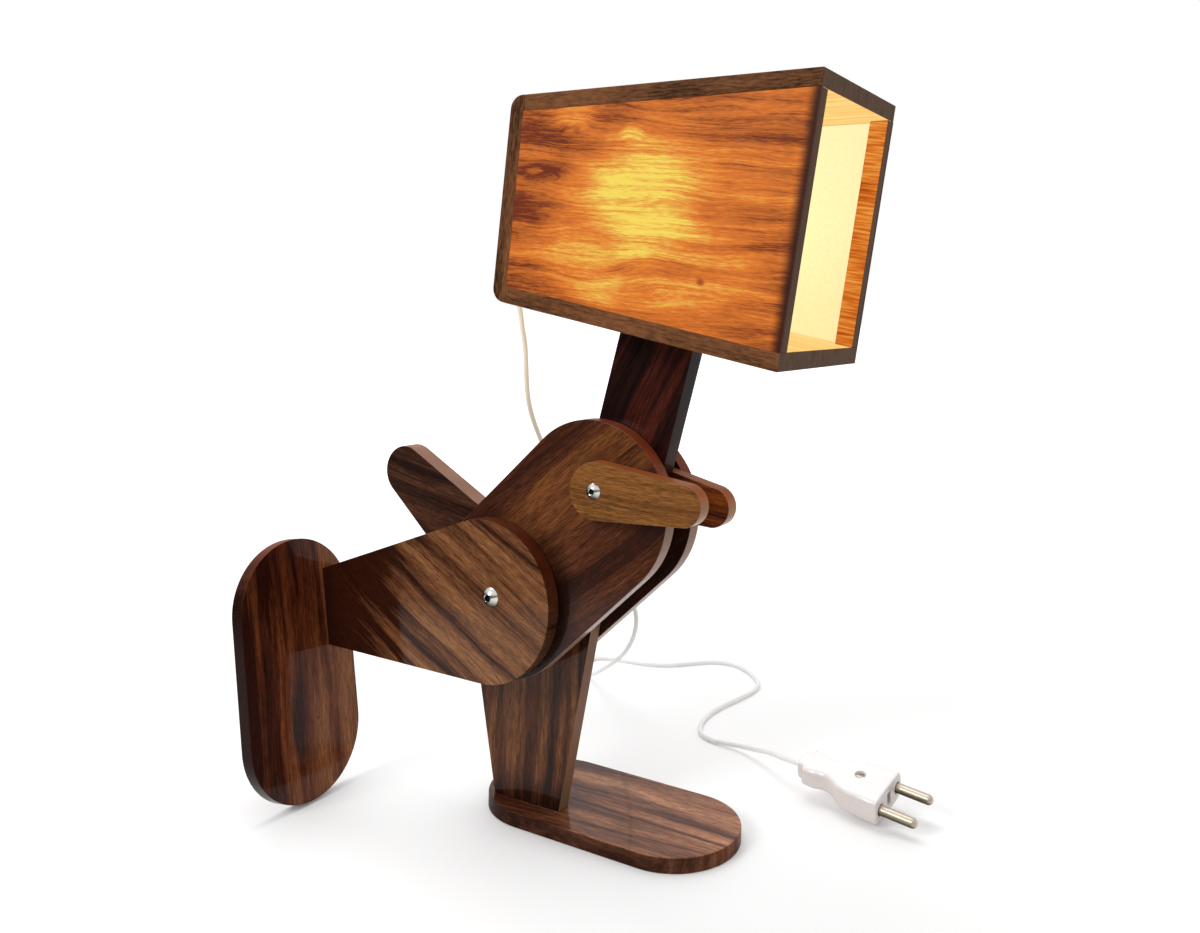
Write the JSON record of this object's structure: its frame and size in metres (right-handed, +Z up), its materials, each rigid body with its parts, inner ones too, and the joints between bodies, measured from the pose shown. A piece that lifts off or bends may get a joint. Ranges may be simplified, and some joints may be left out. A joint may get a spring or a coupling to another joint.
{
  "type": "robot desk lamp",
  "caption": "Desk lamp shaped as a walking robot of wood planks on two bolts, with a box shade for a head, swinging legs, arms and tail, and a corded plug.",
  "frame": {"origin": "on the sole of the standing foot, straight below the hip bolt", "axes": "+X the way the head looks, +Y along both bolts towards their nuts, +Z up"},
  "size_m": [0.2994, 0.3256, 0.3455],
  "materials": {
    "rosewood": "satin",
    "armwood": "satin",
    "walnut": "satin",
    "veneer": "satin, lit from behind",
    "liner": "matt",
    "stainless": "polished",
    "screw_steel": "plain",
    "nickel": "bright nickel plate",
    "contact_brass": "plain",
    "holder_plastic": "matt",
    "bulb_glass": "opal",
    "cord_white": "smooth",
    "plug_white": "gloss"
  },
  "bodies": {
    "torso": {"torso_near": "rosewood", "torso_far": "rosewood", "hip_bolt": "stainless", "hip_nut": "stainless", "hip_washers": "stainless", "shoulder_bolt": "stainless", "shoulder_nut": "stainless", "shoulder_washers": "stainless", "cord_floor": "cord_white", "plug_base": "plug_white", "plug_cover": "plug_white", "plug_screw": "screw_steel", "plug_pins": "nickel"},
    "standing_leg": {"standing_leg": "rosewood", "standing_foot": "rosewood", "foot_screws": "screw_steel"},
    "rear_leg": {"rear_leg": "rosewood", "rear_foot": "rosewood", "rear_foot_screws": "screw_steel"},
    "tail": {"tail": "rosewood"},
    "arm_near": {"arm_near": "armwood"},
    "arm_far": {"arm_far": "armwood"},
    "head": {"neck": "rosewood", "neck_screws": "screw_steel", "shade_top": "walnut", "shade_bottom": "walnut", "shade_back": "walnut", "veneer_near": "veneer", "veneer_far": "veneer", "stile_near": "walnut", "stile_far": "walnut", "liner_near": "liner", "liner_far": "liner", "holder_base": "holder_plastic", "holder_barrel": "holder_plastic", "holder_contact": "contact_brass", "holder_screws": "screw_steel", "bulb_cap": "nickel", "bulb_collar": "holder_plastic", "bulb_globe": "bulb_glass", "strain_relief": "holder_plastic", "holder_lead": "cord_white", "cord_drop": "cord_white"}
  },
  "joints": [
    {"name": "standing_leg_swing", "type": "hinge", "parent": "torso", "child": "standing_leg", "pos_m": [0, 0, 0.1125], "axis": [0, 1, 0], "range_deg": [-20, 20]},
    {"name": "rear_leg_swing", "type": "hinge", "parent": "torso", "child": "rear_leg", "pos_m": [0, 0, 0.1125], "axis": [0, 1, 0], "range_deg": [-30, 45]},
    {"name": "tail_swing", "type": "hinge", "parent": "torso", "child": "tail", "pos_m": [0, 0, 0.1125], "axis": [0, 1, 0], "range_deg": [-50, 30]},
    {"name": "head_tilt", "type": "hinge", "parent": "torso", "child": "head", "pos_m": [0.05668, 0, 0.16839], "axis": [0, 1, 0], "range_deg": [-25, 25]},
    {"name": "arm_near_swing", "type": "hinge", "parent": "torso", "child": "arm_near", "pos_m": [0.05668, 0, 0.16839], "axis": [0, 1, 0], "range_deg": [-85, 85]},
    {"name": "arm_far_swing", "type": "hinge", "parent": "torso", "child": "arm_far", "pos_m": [0.05668, 0, 0.16839], "axis": [0, 1, 0], "range_deg": [-85, 85]}
  ]
}
